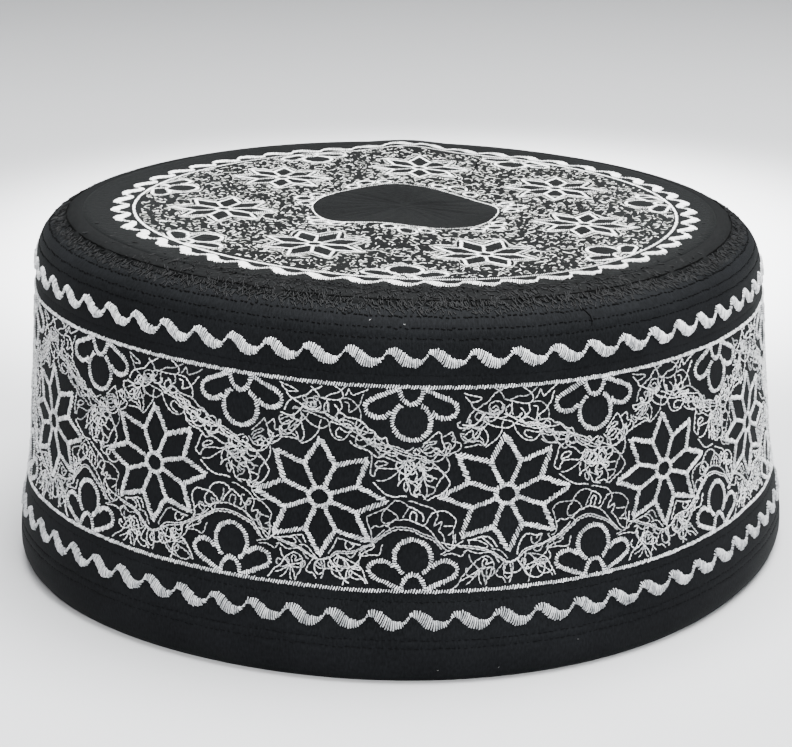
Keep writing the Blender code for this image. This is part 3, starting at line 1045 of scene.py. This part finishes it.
# The crown's cloth is painted paler towards both sides, a painted sheen, from and to these
# distances from the middle, in metres.
SIDE_PAINTED_SHEEN = 1.50
PALE_FROM = 0.045
PALE_TO = 0.080
crown_drop = smooth_reader(CROWN_DROPS)
gather_angles = np.linspace(0.0, 2.0 * pi, GATHER_COUNT, endpoint=False)
gather_angles = gather_angles + hand.uniform(-0.09, 0.09, GATHER_COUNT)
gather_depths = hand.uniform(0.06, 0.40, GATHER_COUNT)


def crown_height(across, back):
    """Height of the crown's upper face in mm, before the lean."""
    height = CROWN_HEIGHT - crown_drop(np.hypot(across, back))
    for middle_across, middle_back, rise, reach_across, reach_back in CROWN_SWELLS:
        height = height + rise * np.exp(
            -((across - middle_across) / reach_across) ** 2
            - ((back - middle_back) / reach_back) ** 2)
    from_x, from_y = across - GATHER_MIDDLE[0], back - GATHER_MIDDLE[1]
    distance = np.hypot(from_x, from_y)
    direction = np.arctan2(from_y, from_x)
    fade = np.clip(distance / 4.0, 0.0, 1.0) * np.clip((22.0 - distance) / 8.0, 0.0, 1.0)
    for gather, depth in zip(gather_angles, gather_depths):
        side = np.sin(0.5 * (direction - gather)) * 2.0 * distance
        height = height - fade * depth * np.exp(-(side / 0.7) ** 2)
    return height


def on_crown(across, back, lift):
    """Lay flat work on the crown: from the pattern's middle, in mm."""
    across = PATTERN_MIDDLE[0] + across
    back = PATTERN_MIDDLE[1] + back
    return soften(across, back, crown_height(across, back) + lift)


crown_rings = np.concatenate((np.linspace(0.0, 24.0, 40), np.linspace(25.0, CROWN_EDGE, 28)))
crown_mesh = turn_section("crown_cloth", [(ring, 0.0) for ring in crown_rings], 200, closed=False)
places = vertex_places(crown_mesh)
across, back = places[:, 0], places[:, 1]
add_cloth_map(crown_mesh, across / 200.0 + 0.5, back / 200.0 + 0.5)
move_corners(crown_mesh, soften(across, back, crown_height(across, back)))
crown_cloth_finish = cloth_finish(
    "black_crown_cotton", (0.0007, 0.0008, 0.0009), (0.0037, 0.0041, 0.0043),
    (170.0, 240.0, 1.0), 0.00060, 0.05, 0.018)
# Painted sheen: the crown cloth's colour grows paler with the distance across from the middle.
side_place = add_node(crown_cloth_finish, "TexCoord", {})
side_split = add_node(crown_cloth_finish, "SeparateXYZ", {"Vector": side_place.outputs["Object"]})
from_middle = add_node(crown_cloth_finish, "Math", {0: side_split.outputs["X"]}, "ABSOLUTE")
painted_side_sheen = add_node(crown_cloth_finish, "MapRange", {
    "From Min": PALE_FROM, "From Max": PALE_TO, "To Max": SIDE_PAINTED_SHEEN,
    "Value": from_middle.outputs["Value"]})
dye = next(node for node in crown_cloth_finish.node_tree.nodes if node.type == "VALTORGB")
fac_with_painted_sheen = add_node(crown_cloth_finish, "Math", {
    0: dye.inputs["Fac"].links[0].from_socket, 1: painted_side_sheen.outputs["Result"]})
feed(crown_cloth_finish, dye, {"Fac": fac_with_painted_sheen.outputs["Value"]})
crown_cloth = finish_piece("crown_cloth", crown_mesh, crown_cloth_finish, "black_cloth", "crown")
thickness = crown_cloth.modifiers.new("layers", "SOLIDIFY")
thickness.thickness = CROWN_WALL * MM
thickness.offset = -1.0

# ---- The seam round the crown
# The crown's and the band's edges are bound together by rows of overcast black thread, laid
# roughly over each other into a low hard ridge. In front they reach in to the wave border.
SEAM_SECTION = (
    # radius, height
    (77.0, 83.4), (77.7, 83.72), (79.0, 83.70), (80.2, 83.4), (81.2, 82.9),
    (82.1, 82.1), (82.5, 81.2), (82.4, 80.2), (81.6, 79.9), (77.1, 81.2),
)
SEAM_FACE = (
    # how far over the ridge, from the crown outwards, then radius and height
    (-4.6, 72.6, 83.9), (0.0, 77.2, 83.7), (1.6, 78.8, 83.8), (3.9, 80.9, 83.2),
    (5.4, 82.2, 82.1), (6.4, 83.1, 81.8), (8.5, 84.7, 80.9), (10.1, 86.1, 79.9),
)
SEAM_MIDDLE = 80.0
SEAM_LUMPS = (
    # lumps round the seam, start, height
    (31.0, 0.0, 0.10), (53.0, 1.0, 0.08), (89.0, 0.0, 0.07),
)
OVERCAST_COUNT = 3200
FRONT_COUNT = 1150
OVERCAST_THREAD = 0.32
LOOSE_END_LIFT = 0.50
GROOVE_OVER = 4.4
seam_mesh = turn_section("seam_ridge", SEAM_SECTION, 240)
places = vertex_places(seam_mesh)
angle = np.arctan2(places[:, 0], -places[:, 1])
lumps = sum(amount * np.sin(count * angle + start) for count, start, amount in SEAM_LUMPS)
lumps = lumps * (np.hypot(places[:, 0], places[:, 1]) > 80.5)
across = places[:, 0] + lumps * np.sin(angle)
back = places[:, 1] - lumps * np.cos(angle)
move_corners(seam_mesh, soften(across, back, places[:, 2] + 0.6 * lumps))
overcast_thread = thread_finish(
    "overcast_thread", (0.0005, 0.0005, 0.0005), (0.0058, 0.0063, 0.0069), 0.6, 0.0, 0.11)
bound_edge = thread_finish(
    "bound_edge", (0.0009, 0.0010, 0.0011), (0.0040, 0.0044, 0.0046), 0.8, 0.0, 0.06)
finish_piece("seam_ridge", seam_mesh, bound_edge, "black_thread", "crown_seam")


def on_seam(along, over, lift):
    """Lay thread on the seam's ridge: along it, over it from the crown outwards, and out."""
    stops, radii, heights = np.transpose(SEAM_FACE)
    radius = np.interp(over, stops, radii)
    height = np.interp(over, stops, heights)
    tilt = np.clip((over - 1.0) / 5.0, 0.0, 1.0) * 0.5 * pi
    radius = radius + lift * np.sin(tilt)
    height = height + lift * np.cos(tilt)
    return at_turn(radius, along / SEAM_MIDDLE, height)


seam_length = 2.0 * pi * SEAM_MIDDLE
begin = np.linspace(0.0, seam_length, OVERCAST_COUNT) + hand.uniform(-0.1, 0.1, OVERCAST_COUNT)
over = hand.uniform(4.5, 8.1, OVERCAST_COUNT)
begin = np.append(begin, SEAM_MIDDLE * hand.normal(0.0, 0.42, FRONT_COUNT))
over = np.append(over, 4.8 - hand.uniform(0.0, 1.0, FRONT_COUNT) ** 1.3 * 8.6)
length = hand.uniform(0.8, 1.5, len(begin))
lean = hand.normal(0.15, 0.50, len(begin))
starts = np.column_stack((begin, over))
ends = np.column_stack((begin + length * np.sin(lean), over + length * np.cos(lean)))
overcast = flat_stitches(starts, ends, 0.0)
overcast[..., 2] += hand.uniform(-0.10, 0.15, (len(begin), 1))
overcast[::13, -1, 2] += hand.uniform(0.3, 1.0, len(overcast[::13])) * LOOSE_END_LIFT
lay_threads("seam_overcast", on_seam(*np.moveaxis(overcast, -1, 0)), OVERCAST_THREAD,
            overcast_thread, "black_thread", sides=3)
# Painted shade: a line of the near-black thread marks the groove between the crown and the seam.
groove = np.column_stack((np.linspace(0.0, seam_length, 500), np.full(500, GROOVE_OVER)))
groove = groove + hand.uniform(-0.08, 0.08, groove.shape)
lay_threads("seam_groove", [on_seam(*groove.T, 0.06)], 0.26, black_thread, "black_thread", sides=3)

# ---- The wave border and the line of the crown
# The same satin waves run round the crown, their scoops outwards, just outside a narrow line
# of satin that bounds the crown's pattern.
CROWN_WAVE = (69.8, 49, 2.15)
CROWN_LINE = 66.4
FRAY = 0.30
bright_thread = thread_finish("bright_thread", (0.62, 0.63, 0.62), (0.98, 0.99, 0.98), 0.45, 0.15)


def round_crown(along, inwards, lift, middle):
    """Lay a border round the crown: along it, towards the middle, and up."""
    angle = along / middle
    radius = middle - inwards
    return on_crown(radius * np.sin(angle), -radius * np.cos(angle), lift)


middle, count, start = CROWN_WAVE
stitches = wave_stitches(2.0 * pi * middle, count, 0.44, 0.18)
stitches[..., 0] += radians(start) * middle
stitches[:, 0, 1] -= hand.uniform(-FRAY, FRAY, len(stitches))
lay_threads("crown_wave_satin", round_crown(*np.moveaxis(stitches, -1, 0), middle), 0.29,
            bright_thread, "light_thread", "crown_wave", sides=3)
path = np.column_stack((np.linspace(0.0, 2.0 * pi * CROWN_LINE, 300), np.zeros(300)))
stitches = satin(path, 0.60, 0.48, 0.45, 0.08)
lay_threads("crown_line", round_crown(*np.moveaxis(stitches, -1, 0), CROWN_LINE), 0.27,
            bright_thread, "light_thread", sides=3)

# ---- The stars and half flowers of the crown
# Seven smaller stars ring the plain disc. Half flowers stand on the line between them, and
# smaller ones round the disc's edge, all in satin stitches.
CROWN_STAR_TURNS = (-13.0, 2.0, 2.0, 9.0, 6.0, 3.0, -3.0)
CROWN_STAR_RADIUS = 45.0
FIRST_CROWN_STAR = 189.3
CROWN_STAR_TIP = 12.2
CROWN_STAR_NOTCH = 7.1
CROWN_STAR_RING = 1.8
CROWN_STAR_WIDTH = 0.72
CROWN_FLOWER_ANGLE = 217.4
CROWN_FLOWER_SCALE = 0.95
DISC_RADIUS = 22.9
DISC_MIDDLE = (-0.7, 0.0)
SMALL_FLOWER = ((0.0, 3.6, 2.2), (4.4, 1.6, 1.7), (-4.4, 1.6, 1.7))
CROWN_REPEATS = 7
SMALL_FLOWER_FOOT = DISC_RADIUS + 0.6
SMALL_FLOWER_MARGIN = 0.9
crown_gap = 360.0 / CROWN_REPEATS
crown_work = []
crown_stars = []
for number, turn in enumerate(CROWN_STAR_TURNS):
    angle = FIRST_CROWN_STAR + number * crown_gap
    middle = turned(CROWN_STAR_RADIUS, angle)
    crown_stars.append((middle, angle + turn))
    strokes = star_strokes(CROWN_STAR_TIP, CROWN_STAR_NOTCH, CROWN_STAR_RING, angle + turn, 0.2)
    for stroke in strokes:
        stitches = satin(stroke, CROWN_STAR_WIDTH, 0.46, 0.5, 0.08)
        crown_work.append(set_down(stitches, middle))


def face_middle(stitches, angle, foot, scale, outwards):
    """Stand flat work on a circle of radius foot at an angle, facing out or in."""
    out = turned(1.0, angle)
    along = np.array((-out[1], out[0]))
    reach = foot + outwards * scale * stitches[..., 1]
    side = scale * stitches[..., 0]
    places = reach[..., None] * out + side[..., None] * along
    return np.concatenate((places, stitches[..., 2:]), axis=-1)


crown_rounds = []
for number in range(CROWN_REPEATS):
    angle = CROWN_FLOWER_ANGLE + number * crown_gap
    for stroke in flower_strokes():
        stitches = satin(stroke, 0.80, 0.50, 0.3, 0.08)
        crown_work.append(face_middle(stitches, angle, CROWN_LINE, CROWN_FLOWER_SCALE, -1.0))
    for along, away, reach in SMALL_FLOWER:
        ring = [(along + reach * cos(radians(step)), away + reach * sin(radians(step)))
                for step in range(0, 361, 20)]
        stitches = satin(ring, 0.62, 0.46, 0.3, 0.08)
        crown_work.append(face_middle(stitches, angle, SMALL_FLOWER_FOOT, 1.0, 1.0))
    for rounds, foot, scale, outwards, margin in (
            (FLOWER_KEEP_OFF, CROWN_LINE, CROWN_FLOWER_SCALE, -1.0, 0.0),
            (SMALL_FLOWER, SMALL_FLOWER_FOOT, 1.0, 1.0, SMALL_FLOWER_MARGIN)):
        for along, away, reach in rounds:
            place = face_middle(np.array([[along, away, 0.0]]), angle, foot, scale, outwards)[0]
            crown_rounds.append((*place[:2], reach * scale + margin))
disc_edge = [turned(DISC_RADIUS, step * 4.0) + DISC_MIDDLE for step in range(91)]
crown_work.append(satin(disc_edge, 0.28, 0.50, 0.4, 0.04, 0.5))
crown_work = np.concatenate(crown_work)
lay_threads("crown_stars_and_flowers", on_crown(*np.moveaxis(crown_work, -1, 0)), 0.28,
            bright_thread, "light_thread", sides=3)

# ---- The curling fill of the crown
# The same fine running stitches fill the crown from the disc to the line, closer than on the
# band, so that little cloth shows between the loops.
CROWN_FILL_THREAD = 0.175
crown_fill = []
for ring in np.arange(DISC_RADIUS + 1.2, CROWN_LINE - 0.9, 2.5):
    steps = np.linspace(0.0, 2.0 * pi, 240)
    wave = 0.8 * np.sin(7.0 * steps + 0.12 * ring)
    guide = np.column_stack(((ring + wave) * np.cos(steps), (ring + wave) * np.sin(steps)))
    crown_fill.append(curl(guide, 0.4, 0.95, 1.95, 0.66))


fill_thread = thread_finish("fill_thread", (0.17, 0.18, 0.16), (0.99, 1.0, 0.98), 0.5, 0.1)


def lay_crown_fill(paths, name):
    """Clear the stars, flowers, disc and line of the crown, and lay the thread."""
    runs = []
    for path in paths:
        path = keep_off_rounds(keep_off_rounds(path, crown_rounds), crown_rounds)
        for middle, turn in crown_stars:
            path = keep_off_stars(path, [middle], CROWN_STAR_TIP, CROWN_STAR_NOTCH,
                                  (1.0, 1.0), 1.35, turn)
        path = keep_off_rounds(path, [(*DISC_MIDDLE, DISC_RADIUS + 0.4)])
        distance = np.hypot(*path.T)
        path = path * np.minimum(1.0, (CROWN_LINE - 0.8) / distance)[:, None]
        lift = hand.uniform(-0.54, 0.33, len(path))
        lift = 0.5 * (lift + np.roll(lift, 1))
        places = on_crown(path[:, 0], path[:, 1], lift)
        runs += [places[first:first + 7] for first in range(0, len(places) - 6, 6)]
    lay_threads(name, runs, CROWN_FILL_THREAD, fill_thread, "light_thread", sides=3)


lay_crown_fill(crown_fill[::2], "crown_fill_one")
lay_crown_fill(crown_fill[1::2], "crown_fill_two")

# ---- Loose threads and lint
# A loose end of black thread lies on the crown and another on the shoulder, and a few specks
# of pale lint cling to the cloth.
# Most places of the ends and of the specks in sight are the output of a scratch program that
# looked up where marks of the photo lie on the cap.
LOOSE_ON_CROWN = (
    # across, back
    (20.5, 60.0), (20.8, 56.0), (19.5, 52.0), (19.0, 48.0), (18.5, 43.5), (17.5, 36.5),
    (16.5, 30.0),
)
LOOSE_ON_SHOULDER = (
    # angle, height
    (26.6, 80.6), (27.0, 79.8), (27.4, 79.0), (27.4, 78.0), (27.2, 77.2),
)
LINT = (
    # angle, height, length, turn
    (3.8, 3.2, 0.3, 0.3), (11.8, 3.0, 0.25, 1.2), (22.8, 7.2, 0.25, 0.0), (-5.0, 79.4, 0.5, 0.5),
    (-0.2, 79.0, 0.4, -0.2), (96.0, 6.4, 0.3, 0.4), (150.0, 78.8, 0.3, 0.1), (-120.0, 9.0, 0.3, 0.7),
)
crown_end = np.array(LOOSE_ON_CROWN) - PATTERN_MIDDLE
shoulder_end = np.array(LOOSE_ON_SHOULDER)
loose = [
    on_crown(crown_end[:, 0], crown_end[:, 1], 0.45),
    on_band(np.radians(shoulder_end[:, 0]) * PATTERN_RADIUS, shoulder_end[:, 1], 0.10),
]
lay_threads("loose_threads", loose, 0.26, black_thread, "black_thread")
lint_fibre = thread_finish("lint_fibre", (0.10, 0.10, 0.10), (0.25, 0.25, 0.25), 0.7, 0.0)
specks = []
for angle, height, length, turn in LINT:
    speck = turned(length, np.degrees(turn))
    along = radians(angle) * PATTERN_RADIUS
    specks.append(on_band(np.array((along, along + speck[0])),
                          np.array((height, height + speck[1])), 0.08))
lay_threads("lint", specks, 0.11, lint_fibre, "light_thread")
